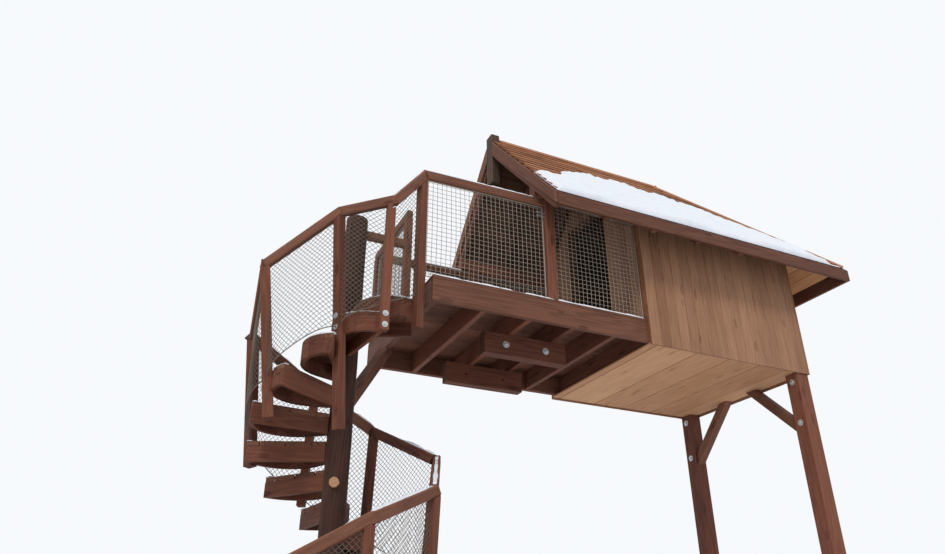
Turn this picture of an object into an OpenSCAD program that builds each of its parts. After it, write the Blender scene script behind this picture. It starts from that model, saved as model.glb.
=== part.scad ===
// Tree house: a hipped cabin and netted deck on a log pole and two posts,
// reached by a winder stair round the pole. Sizes are in millimetres.
// The origin is at the foot of the pole, +X runs along the deck, +Z is up.

/* [Stair] */
// Height of one step
riser = 210; // [190:1:230]
// Number of rises from the ground to the deck
rises = 21; // [19:1:23]
// Turn from one tread to the next, in degrees
step_turn = 30; // [26:1:33]
// Outer radius of the treads
tread_r = 720; // [650:10:900]
// Radius of the rounded corner of a tread
corner_r = 310; // [220:10:325]
// Turn that one tread covers, in degrees
tread_span = 45; // [36:1:60]
// Thickness of the tread boards
tread_t = 40; // [30:1:50]
// Height of the skirt board under a tread
skirt_h = 120; // [80:5:135]
// Thickness of the skirt board
skirt_t = 35; // [25:1:45]
// Radius of the log pole
pole_r = 100; // [80:5:125]
// Height of the pole above the deck
pole_up = 780; // [650:10:1000]
// Distance of the pole from the middle line of the deck, to the near side
pole_y = 150; // [0:10:250]

/* [Deck] */
// Half of the width of the deck
half_w = 860; // [780:10:1000]
// Distance from the pole's centre to the left edge of the deck
deck_x0 = 480; // [420:10:600]
// Length of the open deck in front of the porch posts
open_deck = 1095; // [900:10:1400]
// Thickness of the deck boards
board_t = 28; // [20:1:40]
// Height of the rims and joists
joist_h = 200; // [150:5:240]
// Thickness of the rims and joists
joist_t = 50; // [40:1:70]
// Largest distance between two joists
joist_gap = 460; // [350:10:600]
// Thickness of the lining under the cabin
lining_t = 20; // [15:1:30]

/* [Guard] */
// Height of the deck rail above the deck
guard_h = 1040; // [900:10:1150]
// Width of the hand rails
rail_w = 60; // [45:1:80]
// Height of the hand rails
rail_h = 80; // [50:1:100]
// Section of the deck posts
guard_post = 70; // [60:1:90]
// Thickness of the nets
net_t = 8; // [6:1:12]

/* [Cabin] */
// Length of the porch between its posts and the front wall
porch_len = 945; // [800:10:1200]
// Length of the cabin over its walls
cabin_len = 1920; // [1600:10:2400]
// Thickness of the cabin walls
wall_t = 80; // [60:1:110]
// Thickness of the wall boards that hang over the rims
apron_t = 20; // [15:1:30]
// Width of the doorway
door_w = 700; // [600:10:800]
// Height of the doorway
door_h = 1550; // [1400:10:1650]
// Section of the porch posts
porch_post = 90; // [70:1:110]
// Height of the wall plates over the porch
plate_h = 130; // [100:5:160]

/* [Roof] */
// Height of the ridge above the deck
ridge_up = 2270; // [2050:10:2400]
// Height of the eaves above the deck
eave_up = 835; // [760:5:950]
// Overhang of the eaves beyond the walls
eave_out = 390; // [300:10:450]
// Overhang of the gable beyond the porch posts
gable_out = 145; // [100:5:250]
// Overhang of the hipped end beyond the end wall
hip_out = 460; // [350:10:520]
// Run of the hipped end from the ridge to its eave
hip_run = 1400; // [1250:10:1600]
// Thickness of the roof, measured plumb
roof_t = 75; // [60:1:100]
// Height of the rafters, measured plumb
rafter_h = 135; // [100:5:150]
// Thickness of the rafters
rafter_t = 50; // [40:1:60]
// Largest distance between two rafters
rafter_gap = 520; // [400:10:650]
// Thickness of the barge boards and fascias
barge_t = 30; // [20:1:40]
// Height of the barge boards, measured plumb
barge_h = 185; // [150:5:220]
// Height of the eave fascias
fascia_h = 120; // [90:5:140]

/* [Supports] */
// Section of the two support posts
support_post = 150; // [120:5:180]
// Section of the braces
brace_s = 90; // [70:5:110]
// Reach of the braces
brace_run = 520; // [400:10:650]
// Height of the bearers at the tree
bearer_h = 200; // [150:10:240]
// Distance of each bearer from the middle of the deck
bearer_y = 420; // [300:10:500]
// Distance between the two bolt holes of a bearer
bolt_gap = 400; // [300:10:600]
// Radius of the bolt holes
bolt_r = 11; // [8:0.5:14]

/* [Hidden] */
$fn = 64;

far = 9000;
eps = 1;
saw_gap = 0.8;

// Levels
deck_z = riser * rises;
frame_z1 = deck_z - board_t;
frame_z0 = frame_z1 - joist_h;
under_z = frame_z0 - lining_t;
guard_z = deck_z + guard_h;
ridge_z = deck_z + ridge_up;
eave_z = deck_z + eave_up;

// Lengths along the deck
porch_x = deck_x0 + open_deck + porch_post / 2;
front_x = porch_x + porch_post / 2 + porch_len;
cabin_x1 = front_x + cabin_len;
deck_x1 = cabin_x1 - apron_t;
wall_y = half_w + apron_t;
inner_y = wall_y - wall_t;
guard_y = half_w - porch_post / 2;

// Roof planes: both slopes fall from the ridge, the hip falls to the right
eave_y = wall_y + eave_out;
gable_x = porch_x - porch_post / 2 - gable_out;
hip_x1 = cabin_x1 + hip_out;
hip_x0 = hip_x1 - hip_run;
slope = (ridge_z - eave_z) / eave_y;
hip_slope = (ridge_z - eave_z) / hip_run;
function roof_z(y) = ridge_z - roof_t - slope * y;
door_z = deck_z + door_h;

// Turning angle of the front edge of tread k, and the pitch line at an angle
land_turn = -68;
function front(k) = land_turn - (rises - k) * step_turn;
function pitch_z(a) = deck_z + (a - land_turn) * riser / step_turn;
step_box = tread_t + skirt_h;

// A tread's edge: a straight front, a large rounded corner, an outer arc
corner_x = sqrt(pow(tread_r - corner_r, 2) - pow(corner_r, 2));
corner_end = atan2(corner_r, corner_x);
arc_steps = 10;

function corner_at(a, r) =
    let (along = corner_x * cos(a) + corner_r * sin(a),
         across = corner_x * sin(a) - corner_r * cos(a))
    along + sqrt(r * r - across * across);
function edge_r(a) = a >= corner_end ? tread_r : corner_at(a, corner_r);
function corner_turn(a, r) =
    atan2(corner_at(a, r) * sin(a) - corner_r, corner_at(a, r) * cos(a) - corner_x);
function edge_normal(a) = a >= corner_end ? a : corner_turn(a, corner_r);
function edge(inset, last) =
    let (turn = last >= corner_end ? corner_end : corner_turn(last, corner_r - inset))
    concat(
        [for (i = [0 : arc_steps]) let (t = -90 + (turn + 90) * i / arc_steps)
            [corner_x + (corner_r - inset) * cos(t), corner_r + (corner_r - inset) * sin(t)]],
        last > corner_end ? [for (i = [1 : 2]) let (t = corner_end + (last - corner_end) * i / 2)
            (tread_r - inset) * [cos(t), sin(t)]] : []);

// The last tread runs on to the tie between the pole and the deck
tie_w = 80;
last_span = -front(rises - 1) - asin(tie_w / (2 * pole_r));
function span(k) = k == rises - 1 ? last_span : min(tread_span, (rises - k) * step_turn);

// Stair posts: tread, angle on the tread, rail height over the pitch line,
// section, length below the tread, lean in degrees
lower_posts = [[1, 40, 740, 70, 210, 3], [3, 40, 740, 70, 420, 4], [5, 40, 740, 70, 420, 4],
    [7, 42, 730, 70, 500, 3], [9, 36, 645, 80, 560, 3], [10, 36, 755, 70, 450, 5]];
upper_posts = [[12, 32, 725, 65, 560, 3], [14, 20, 730, 65, 200, 5], [15, 36, 740, 75, 175, 8],
    [17, 26, 768, 80, 360, 8], [19, 18, 776, 70, 895, 6], [19, 44, 715, 65, 165, 1],
    [20, 40, 0, 70, 260, 0]];
all_posts = concat(lower_posts, upper_posts);

function post_turn(p) = front(p[0]) + p[1];
function post_rail_z(p) = p[2] == 0 ? guard_z : pitch_z(post_turn(p)) + p[2];
function post_dir(p) = let (a = front(p[0]) + edge_normal(p[1])) [cos(a), sin(a)];
function post_foot(p) = edge_r(p[1]) * [cos(post_turn(p)), sin(post_turn(p))];
function post_axis(p, z) =
    let (out = p[3] / 2 + (z - riser * p[0]) * tan(p[5]), xy = post_foot(p) + out * post_dir(p))
    [xy[0], xy[1], z];
function rail_point(p) = post_axis(p, post_rail_z(p));

brown = [0.50, 0.27, 0.17];
red_brown = [0.45, 0.22, 0.15];
tan_wood = [0.74, 0.48, 0.30];
grey_wood = [0.42, 0.31, 0.24];
cord = [0.62, 0.56, 0.46];

// The stair is drawn round its pole, the deck and cabin about their middle line
module at_deck() {
    translate([0, pole_y, 0]) children();
}

module at_pole() {
    translate([0, -pole_y, 0]) children();
}

module pole_space(extra = 0) {
    translate([0, 0, -eps]) cylinder(r = pole_r + extra, h = far);
}

module stair_pole() {
    stub_z = 2810;
    stub_turn = -110;
    stub_r = 38;
    stub_out = 30;
    color(grey_wood) {
        cylinder(r = pole_r, h = deck_z + pole_up);
        translate([0, 0, stub_z]) rotate([0, 90, stub_turn]) cylinder(r = stub_r, h = pole_r + stub_out);
    }
}

// One tread in plan, with its front edge on the X axis
module tread_plan(k) {
    polygon(concat([[0, 0]], edge(0, span(k))));
}

// The skirt is a front board, two bent boards round the edge and a back board,
// with saw cuts where they meet
module skirt_plan(k) {
    s = span(k);
    front_cut = 10;
    middle_cut = 28;
    last = s - asin(skirt_t / (tread_r - skirt_t));
    difference() {
        tread_plan(k);
        polygon(concat([[skirt_t * (1 + cos(s)) / sin(s), skirt_t]], edge(skirt_t, last)));
        for (turn = [front_cut, middle_cut, last]) rotate([0, 0, turn])
            translate([corner_x + skirt_t, -saw_gap / 2]) square([far, saw_gap]);
    }
}

// The deck's left rim stops the last step
module placed_tread(k, low, high) {
    difference() {
        translate([0, 0, riser * k + low]) rotate([0, 0, front(k)])
            linear_extrude(high - low) children();
        pole_space();
        if (k == rises - 1) translate([deck_x0, -far / 2, 0]) cube(far);
    }
}

module stair_treads() {
    color(brown) for (k = [1 : rises - 1]) placed_tread(k, -tread_t, 0) tread_plan(k);
}

module stair_skirts() {
    color(red_brown) for (k = [1 : rises - 1])
        placed_tread(k, -step_box, -tread_t) skirt_plan(k);
}

// A post leans outwards and is notched over the step that it is bolted to
module stair_post(p) {
    height = (post_rail_z(p) - riser * p[0]) / cos(p[5]);
    difference() {
        translate(concat(post_foot(p), [riser * p[0]]))
            rotate([0, 0, front(p[0]) + edge_normal(p[1])]) rotate([0, p[5], 0])
            translate([0, -p[3] / 2, -p[4]]) cube([p[3], p[3], height + p[4]]);
        translate([0, 0, riser * p[0] - step_box]) rotate([0, 0, front(p[0])])
            linear_extrude(step_box) tread_plan(p[0]);
        translate([0, 0, riser * (p[0] - 1) - step_box]) rotate([0, 0, front(p[0] - 1)])
            linear_extrude(step_box) tread_plan(p[0] - 1);
        translate([-far / 2, -far / 2, -far]) cube([far, far, far]);
    }
}

// A straight rail from post to post, cut on lines from the pole
module rail_bar(p, q, w, h) {
    a = rail_point(p);
    b = rail_point(q);
    run = norm([b[0] - a[0], b[1] - a[1]]);
    spare = 2 * rail_w;
    translate(a) rotate([0, -atan2(b[2] - a[2], run), atan2(b[1] - a[1], b[0] - a[0])])
        translate([-spare, -w / 2, -rail_h]) cube([norm(b - a) + 2 * spare, w, h]);
}

module sector(first, last) {
    mid = (first + last) / 2;
    linear_extrude(far) polygon([[0, 0], far * [cos(first), sin(first)],
        far * [cos(mid), sin(mid)], far * [cos(last), sin(last)]]);
}

saw_turn = 0.03;
rail_end = 4;

module rails(posts) {
    for (i = [0 : len(posts) - 2]) intersection() {
        rail_bar(posts[i], posts[i + 1], rail_w, rail_h);
        sector(post_turn(posts[i]) + (posts[i] == all_posts[0] ? -rail_end : saw_turn),
            post_turn(posts[i + 1]) - saw_turn);
    }
}

// The space from the underside of the rails up
module over_rails() {
    lap = 0.2;
    wide = 4 * rail_w;
    high = 4 * rail_h;
    turns = [for (p = all_posts) post_turn(p)];
    for (i = [0 : len(all_posts) - 2]) intersection() {
        rail_bar(all_posts[i], all_posts[i + 1], wide, high);
        sector(turns[i] - (i == 0 ? 2 * rail_end : lap), turns[i + 1] + lap);
    }
    translate([-far / 2, -far / 2, guard_z - rail_h]) cube(far);
}

lower_row = [for (i = [0 : len(lower_posts)]) all_posts[i]];

module stair_rails_lower() {
    color(brown) rails(lower_row);
}

module stair_rails_upper() {
    color(brown) rails(upper_posts);
}

module stair_posts_lower() {
    color(red_brown) difference() {
        for (p = lower_posts) stair_post(p);
        over_rails();
    }
}

module upper_post_shapes() {
    for (p = upper_posts) stair_post(p);
}

module stair_posts_upper() {
    color(red_brown) difference() {
        upper_post_shapes();
        over_rails();
    }
}

// The net stands off the treads, and ends just inside the posts
net_out = 25;
net_drop = 130;
net_end = 0.5;
net_inset = 0.02;
net_cut = 0.001;

// Half a bay of net, from a straight rail to the round edge of the treads
module net_half(p, q, from, to) {
    n = 4;
    r = tread_r + net_out;
    turn_p = post_turn(p) + net_end;
    turn_q = post_turn(q) - net_end;
    steps = [for (i = [0 : n]) from + (to - from) * i / n];
    a = rail_point(p) - [0, 0, rail_h / 2];
    b = rail_point(q) - [0, 0, rail_h / 2];
    low = [for (t = steps) let (turn = turn_p + (turn_q - turn_p) * t)
        [r * cos(turn), r * sin(turn), pitch_z(turn) - net_drop]];
    high = [for (t = steps) a + (b - a) * (net_inset + (1 - 2 * net_inset) * t)];
    out = [for (t = steps) let (turn = turn_p + (turn_q - turn_p) * t)
        net_t * [cos(turn), sin(turn), 0]];
    points = concat(low, high, [for (i = [0 : n]) low[i] + out[i]], [for (i = [0 : n]) high[i] + out[i]]);
    m = n + 1;
    faces = concat(
        [for (i = [0 : n - 1]) each [[i, i + 1, m + i + 1], [i, m + i + 1, m + i]]],
        [for (i = [0 : n - 1]) each [[2 * m + i, 3 * m + i + 1, 2 * m + i + 1],
            [2 * m + i, 3 * m + i, 3 * m + i + 1]]],
        [for (i = [0 : n - 1]) each [[i, 2 * m + i + 1, i + 1], [i, 2 * m + i, 2 * m + i + 1]]],
        [for (i = [0 : n - 1]) each [[m + i, m + i + 1, 3 * m + i + 1],
            [m + i, 3 * m + i + 1, 3 * m + i]]],
        [[0, m, 3 * m], [0, 3 * m, 2 * m],
            [n, 3 * m + n, m + n], [n, 2 * m + n, 3 * m + n]]);
    polyhedron(points, faces);
}

module nets(posts) {
    difference() {
        for (i = [0 : len(posts) - 2]) {
            net_half(posts[i], posts[i + 1], 0, 0.5 - net_cut);
            net_half(posts[i], posts[i + 1], 0.5 + net_cut, 1);
        }
        for (p = posts) stair_post(p);
        over_rails();
    }
}

module stair_nets_lower() {
    color(cord) nets(lower_row);
}

module stair_nets_upper() {
    color(cord) nets(upper_posts);
}

module pole_tie() {
    color(brown) difference() {
        translate([0, -tie_w / 2, frame_z0]) cube([deck_x0, tie_w, joist_h]);
        pole_space();
    }
}

// A strut from the pole to the left rim, square to neither
module pole_brace() {
    turn = 45;
    reach = (deck_x0 + joist_t / 2) / cos(turn);
    drop = 790;
    length = norm([reach, drop]);
    color(brown) difference() {
        rotate([0, 0, turn]) translate([0, 0, frame_z0 - drop])
            rotate([0, -atan2(drop, reach), 0])
            translate([0, -brace_s / 2, -brace_s / 2]) cube([length + brace_s, brace_s, brace_s]);
        translate([-far / 2, -far / 2, frame_z0]) cube([far, far, far]);
        pole_space();
    }
}

module rim_near() {
    color(brown) translate([deck_x0, -half_w, frame_z0]) cube([deck_x1 - deck_x0, joist_t, joist_h]);
}

module rim_far() {
    color(brown) mirror([0, 1, 0])
        translate([deck_x0, -half_w, frame_z0]) cube([deck_x1 - deck_x0, joist_t, joist_h]);
}

module rim_left() {
    color(brown) translate([deck_x0, joist_t - half_w, frame_z0])
        cube([joist_t, 2 * (half_w - joist_t), joist_h]);
}

module rim_right() {
    color(brown) translate([deck_x1 - 2 * joist_t, joist_t - half_w, frame_z0])
        cube([2 * joist_t, 2 * (half_w - joist_t), joist_h]);
}

module floor_joists() {
    first = deck_x0 + joist_t;
    last = deck_x1 - 2 * joist_t;
    bays = ceil((last - first) / joist_gap);
    color(red_brown) for (i = [1 : bays - 1])
        translate([first + (last - first) * i / bays - joist_t / 2, joist_t - half_w, frame_z0])
            cube([joist_t, 2 * (half_w - joist_t), joist_h]);
}

module deck_floor() {
    color(brown) translate([deck_x0, -half_w, frame_z1])
        cube([deck_x1 - deck_x0, 2 * half_w, board_t]);
}

module floor_lining() {
    color(tan_wood) translate([front_x, -half_w, under_z])
        cube([deck_x1 - front_x, 2 * half_w, lining_t]);
}

module trunk_bearers() {
    bearer_in = 650;
    bearer_x = deck_x0 + bearer_in;
    bearer_len = 820;
    bearer_t = 100;
    color(red_brown) for (side = [-1, 1])
        translate([bearer_x + bearer_len / 2, side * bearer_y, frame_z0 - bearer_h / 2]) difference() {
            cube([bearer_len, bearer_t, bearer_h], center = true);
            for (along = [-0.5, 0.5]) translate([along * bolt_gap, 0, 0]) rotate([90, 0, 0])
                cylinder(r = bolt_r, h = 2 * bearer_t, center = true);
        }
}

support_x = cabin_x1 - support_post / 2;
support_y = wall_y - support_post / 2;

module support_posts() {
    color(red_brown) for (side = [-1, 1])
        translate([support_x, side * support_y, under_z / 2])
            cube([support_post, support_post, under_z], center = true);
}

module post_braces() {
    face_y = support_y - support_post / 2;
    color(brown) for (side = [0, 1]) mirror([0, side, 0]) difference() {
        translate([support_x, face_y, under_z - brace_run]) rotate([45, 0, 0])
            translate([-brace_s / 2, -brace_s / 2, -brace_s])
            cube([brace_s, brace_s, brace_run * sqrt(2) + 2 * brace_s]);
        translate([0, -far / 2, under_z]) cube([far, far, far]);
        translate([0, face_y, 0]) cube([far, far, far]);
    }
}

// Deck posts: one at the far corner, one where the guard meets the stair
newel_off = 60;
newel_y = newel_off - pole_y;
corner_post_x = deck_x0 + guard_post / 2;

module guard_post_at(x, y) {
    translate([x - guard_post / 2, y - guard_post / 2, deck_z])
        cube([guard_post, guard_post, guard_h - rail_h]);
}

module deck_posts() {
    color(red_brown) {
        guard_post_at(corner_post_x, guard_y);
        guard_post_at(corner_post_x, newel_y);
    }
}

// The last stair post's place at a height, and a bar from there to the porch post
function last_post(z) =
    post_axis(all_posts[len(all_posts) - 1], z) - [0, pole_y, 0];

module near_bar(z, w, h) {
    start = last_post(z);
    run = [porch_x, -guard_y] - [start[0], start[1]];
    intersection() {
        translate(start) rotate([0, 0, atan2(run[1], run[0])])
            translate([0, -w / 2, -h]) cube([norm(run), w, h]);
        translate([0, -far / 2, 0]) cube([porch_x - porch_post / 2, far, far]);
    }
}

module near_rail() {
    difference() {
        near_bar(guard_z, rail_w, rail_h);
        at_pole() rails(upper_posts);
    }
}

module deck_rails() {
    pole_rail_up = 640;
    pole_rail_z = deck_z + pole_rail_up;
    rail_x = corner_post_x + rail_w / 2;
    color(brown) {
        near_rail();
        translate([rail_x + eps, guard_y - rail_w / 2, guard_z - rail_h])
            cube([porch_x - porch_post / 2 - rail_x - eps, rail_w, rail_h]);
        translate([corner_post_x - rail_w / 2, newel_y - guard_post / 2, guard_z - rail_h])
            cube([rail_w, guard_y + rail_w / 2 - newel_y + guard_post / 2, rail_h]);
        difference() {
            translate([0, newel_y - rail_w / 2, pole_rail_z])
                cube([deck_x0, rail_w, rail_h]);
            at_pole() pole_space();
        }
    }
}

module deck_net_near() {
    color(cord) difference() {
        near_bar(guard_z - rail_h, net_t, guard_h - rail_h);
        at_pole() upper_post_shapes();
    }
}

module deck_net_far() {
    start = corner_post_x + guard_post / 2;
    color(cord) translate([start, guard_y - net_t / 2, deck_z])
        cube([porch_x - porch_post / 2 - start, net_t, guard_h - rail_h]);
}

module deck_net_left() {
    start = newel_y + guard_post / 2;
    color(cord) translate([corner_post_x - net_t / 2, start, deck_z])
        cube([net_t, guard_y - guard_post / 2 - start, guard_h - rail_h]);
}

plate_z0 = guard_z;

module porch_nets() {
    start = porch_x + porch_post / 2;
    color(cord) for (side = [-1, 1])
        translate([start, side * guard_y - net_t / 2, deck_z])
            cube([front_x - start, net_t, plate_z0 - deck_z]);
}

// Everything below the roof, lowered by a plumb distance
module under_roof(down) {
    top = ridge_z - down;
    intersection() {
        rotate([90, 0, 90]) linear_extrude(far)
            polygon([[-eave_y, 0], [eave_y, 0], [eave_y, top - slope * eave_y], [0, top],
                [-eave_y, top - slope * eave_y]]);
        translate([0, eave_y, 0]) rotate([90, 0, 0]) linear_extrude(2 * eave_y)
            polygon([[0, 0], [hip_x1, 0], [hip_x1, top - hip_slope * hip_run], [hip_x0, top], [0, top]]);
    }
}

beam_half = 30;
beam_depth = 150;
rafter_x0 = gable_x + barge_t;
rafter_last = hip_x0 - rafter_t;
rafter_count = ceil((rafter_last - rafter_x0) / rafter_gap);

module rafter_row() {
    foot_y = eave_y - barge_t;
    for (side = [0, 1]) mirror([0, side, 0]) for (i = [0 : rafter_count])
        translate([rafter_x0 + (rafter_last - rafter_x0) * i / rafter_count, 0, 0])
            rotate([90, 0, 90]) linear_extrude(rafter_t)
            polygon([[beam_half, roof_z(beam_half)], [foot_y, roof_z(foot_y)],
                [foot_y, roof_z(foot_y) - rafter_h / 2],
                [foot_y - rafter_h / 2 / slope, roof_z(foot_y) - rafter_h / 2],
                [beam_half, roof_z(beam_half) - rafter_h]]);
}

module rafters() {
    color(brown) difference() {
        rafter_row();
        king_space();
    }
}

// The block on the gable end that the ridge and the barge boards meet
king_w = 130;
king_l = 100;
king_up = 45;
king_down = 590;

module king_space() {
    translate([gable_x, -king_w / 2, ridge_z - king_down]) cube([king_l, king_w, king_down + king_up]);
}

module king_block() {
    color(grey_wood) king_space();
}

module ridge_beam() {
    top = ridge_z - roof_t;
    low = top - beam_depth;
    color(brown) translate([gable_x + king_l, 0, 0]) rotate([90, 0, 90])
        linear_extrude(hip_x0 - gable_x - king_l)
        polygon([[0, top], [-beam_half, top - slope * beam_half], [-beam_half, low], [beam_half, low],
            [beam_half, top - slope * beam_half]]);
}

module ridge_space() {
    translate([0, -beam_half, ridge_z - roof_t - beam_depth]) cube([far, 2 * beam_half, far]);
}

// A side wall stands on the deck, its boards hang down over the rim
module side_wall() {
    difference() {
        intersection() {
            union() {
                translate([front_x, -wall_y, deck_z]) cube([cabin_len, wall_t, far]);
                translate([front_x, -wall_y, under_z]) cube([cabin_len, apron_t, joist_h + far]);
            }
            under_roof(roof_t);
        }
        rafter_row();
    }
}

module wall_near() {
    color(tan_wood) side_wall();
}

module wall_far() {
    color(tan_wood) mirror([0, 1, 0]) side_wall();
}

module wall_end() {
    color(tan_wood) intersection() {
        union() {
            translate([cabin_x1 - wall_t, -inner_y, deck_z]) cube([wall_t, 2 * inner_y, far]);
            translate([cabin_x1 - apron_t, -half_w, under_z])
                cube([apron_t, 2 * half_w, deck_z - under_z]);
        }
        under_roof(roof_t);
    }
}

module front_panel(y0, y1, z0) {
    difference() {
        intersection() {
            translate([front_x, y0, z0]) cube([wall_t, y1 - y0, far]);
            under_roof(roof_t);
        }
        rafter_row();
        ridge_space();
    }
}

module wall_front_near() {
    color(tan_wood) front_panel(-inner_y, -door_w / 2, deck_z);
}

module wall_front_far() {
    color(tan_wood) front_panel(door_w / 2, inner_y, deck_z);
}

module wall_over_door() {
    color(tan_wood) front_panel(-door_w / 2, door_w / 2, door_z);
}

module porch_posts() {
    color(red_brown) for (side = [-1, 1])
        translate([porch_x - porch_post / 2, side * guard_y - porch_post / 2, deck_z])
            cube([porch_post, porch_post, plate_z0 - deck_z]);
}

module wall_plates() {
    start = gable_x + barge_t;
    color(brown) for (side = [0, 1]) mirror([0, side, 0]) difference() {
        intersection() {
            translate([start, guard_y - porch_post / 2, plate_z0])
                cube([front_x - start, porch_post, plate_h]);
            under_roof(roof_t);
        }
        rafter_row();
    }
}

// The roof's shell is cut into its slopes by upright planes through the hips
module roof_shell() {
    difference() {
        under_roof(0);
        under_roof(roof_t);
    }
}

module slope_plan() {
    start = gable_x + barge_t;
    edge_y = eave_y - barge_t;
    polygon([[start, 0], [hip_x0, 0], [hip_x0 + hip_run * edge_y / eave_y, -edge_y], [start, -edge_y]]);
}

module roof_slope() {
    difference() {
        intersection() {
            roof_shell();
            linear_extrude(far) slope_plan();
        }
        king_space();
    }
}

module roof_near() {
    color(tan_wood) roof_slope();
}

module roof_far() {
    color(tan_wood) mirror([0, 1, 0]) roof_slope();
}

module roof_hip() {
    last = hip_run - barge_t;
    half = eave_y * last / hip_run;
    color(tan_wood) intersection() {
        roof_shell();
        linear_extrude(far) polygon([[hip_x0, 0], [hip_x0 + last, half], [hip_x0 + last, -half]]);
    }
}

module barge_boards() {
    color(brown) for (side = [0, 1]) mirror([0, side, 0]) difference() {
        translate([gable_x, 0, 0]) rotate([90, 0, 90]) linear_extrude(barge_t)
            polygon([[0, ridge_z], [eave_y, eave_z], [eave_y, eave_z - fascia_h],
                [0, ridge_z - barge_h]]);
        king_space();
    }
}

module eave_fascias() {
    start = gable_x + barge_t;
    top = eave_z + slope * barge_t;
    last = hip_x1 - barge_t;
    butt_gap = 0.5;
    color(brown) {
        for (side = [0, 1]) mirror([0, side, 0]) intersection() {
            translate([start, eave_y - barge_t, eave_z - fascia_h])
                cube([last - butt_gap - start, barge_t, top]);
            under_roof(0);
        }
        intersection() {
            translate([last, -eave_y, eave_z - fascia_h]) cube([barge_t, 2 * eave_y, top]);
            under_roof(0);
        }
    }
}

stair_pole();
stair_treads();
stair_skirts();
stair_posts_lower();
stair_posts_upper();
stair_rails_lower();
stair_rails_upper();
stair_nets_lower();
stair_nets_upper();
pole_tie();
pole_brace();
at_deck() rim_near();
at_deck() rim_far();
at_deck() rim_left();
at_deck() rim_right();
at_deck() floor_joists();
at_deck() deck_floor();
at_deck() floor_lining();
at_deck() trunk_bearers();
at_deck() support_posts();
at_deck() post_braces();
at_deck() deck_posts();
at_deck() deck_rails();
at_deck() deck_net_near();
at_deck() deck_net_far();
at_deck() deck_net_left();
at_deck() porch_nets();
at_deck() wall_near();
at_deck() wall_far();
at_deck() wall_end();
at_deck() wall_front_near();
at_deck() wall_front_far();
at_deck() wall_over_door();
at_deck() porch_posts();
at_deck() wall_plates();
at_deck() ridge_beam();
at_deck() rafters();
at_deck() roof_near();
at_deck() roof_far();
at_deck() roof_hip();
at_deck() barge_boards();
at_deck() eave_fascias();
at_deck() king_block();
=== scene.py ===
"""Looks of a timber tree house: a hipped cabin, a netted deck and a winder stair round a log pole."""
import math

import bmesh
import bpy
import numpy as np
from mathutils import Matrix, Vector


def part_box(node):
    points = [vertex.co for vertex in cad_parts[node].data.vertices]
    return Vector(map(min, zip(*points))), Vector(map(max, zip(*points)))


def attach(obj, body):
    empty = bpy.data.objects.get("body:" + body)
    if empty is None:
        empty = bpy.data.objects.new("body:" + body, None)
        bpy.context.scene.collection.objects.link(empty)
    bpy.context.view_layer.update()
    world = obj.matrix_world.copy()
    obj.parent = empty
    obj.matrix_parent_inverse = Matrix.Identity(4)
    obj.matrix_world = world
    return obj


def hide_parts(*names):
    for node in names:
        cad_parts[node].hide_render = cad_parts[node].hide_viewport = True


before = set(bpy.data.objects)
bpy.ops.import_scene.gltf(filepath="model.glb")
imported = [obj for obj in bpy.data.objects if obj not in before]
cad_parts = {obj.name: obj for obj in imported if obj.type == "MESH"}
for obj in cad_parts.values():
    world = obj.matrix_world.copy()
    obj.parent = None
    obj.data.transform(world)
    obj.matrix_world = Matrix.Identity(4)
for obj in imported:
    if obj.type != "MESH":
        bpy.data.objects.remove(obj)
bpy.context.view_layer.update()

# VIEW AND LIGHT
# The eye stands low down off the deck's near side and looks up at it. Two far,
# even lamps and a bright surround light the timber over a pale floor.
eye_spot, eye_climb, eye_heading = (-1.48, -5.66, 1.65), 27.2, (0.423, 0.906)
floor_half = 60
scene = bpy.context.scene
eye = bpy.data.cameras.new("eye")
eye.lens, eye.sensor_width = 28.04, 36.0
eye.clip_start, eye.clip_end = 0.1, 400.0
scene.view_settings.view_transform = "Standard"


def stand(name, data):
    """An object of some data in the scene."""
    made = bpy.data.objects.new(name, data)
    scene.collection.objects.link(made)
    return made


scene.camera = stand("eye", eye)
scene.camera.location = eye_spot
scene.camera.rotation_euler = (math.radians(90 + eye_climb), 0, -math.atan2(*eye_heading))


def lamp(name, back, spread, power, colour):
    """A far, even lamp that shines from the way back, as wide as spread degrees."""
    data = bpy.data.lights.new(name, "SUN")
    data.angle, data.energy, data.color = math.radians(spread), power, colour
    stand(name, data).rotation_euler = (
        math.atan2(math.hypot(back[0], back[1]), back[2]), 0, math.atan2(back[0], -back[1]))


lamp("key_lamp", (-0.62, -0.78, 0.75), 14, 1.15, (1.0, 0.95, 0.87))
lamp("fill_lamp", (0.9, -0.6, 0.25), 60, 0.35, (0.92, 0.96, 1.0))


def feed(tree, socket, value):
    """Sets a node's input to a number or colour, or links an output to it."""
    if isinstance(value, bpy.types.NodeSocket):
        tree.links.new(value, socket)
    else:
        socket.default_value = value


def wire(tree, made, **inputs):
    """Feeds a node's inputs by name and gives the node back."""
    for name, value in inputs.items():
        feed(tree, made.inputs[name.replace("_", " ")], value)
    return made


def node(tree, kind, **inputs):
    """A new shader node with its inputs fed by name."""
    return wire(tree, tree.nodes.new(kind), **inputs)


def sums(tree, kind, *values):
    """The result of a math node on one to three outputs or numbers."""
    made = tree.nodes.new("ShaderNodeMath")
    made.operation = kind
    for socket, value in zip(made.inputs, values):
        feed(tree, socket, value)
    return made.outputs[0]


def material(name):
    """An empty node material: (material, node tree, principled shader)."""
    made = bpy.data.materials.new(name)
    made.use_nodes = True
    return made, made.node_tree, made.node_tree.nodes["Principled BSDF"]


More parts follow.
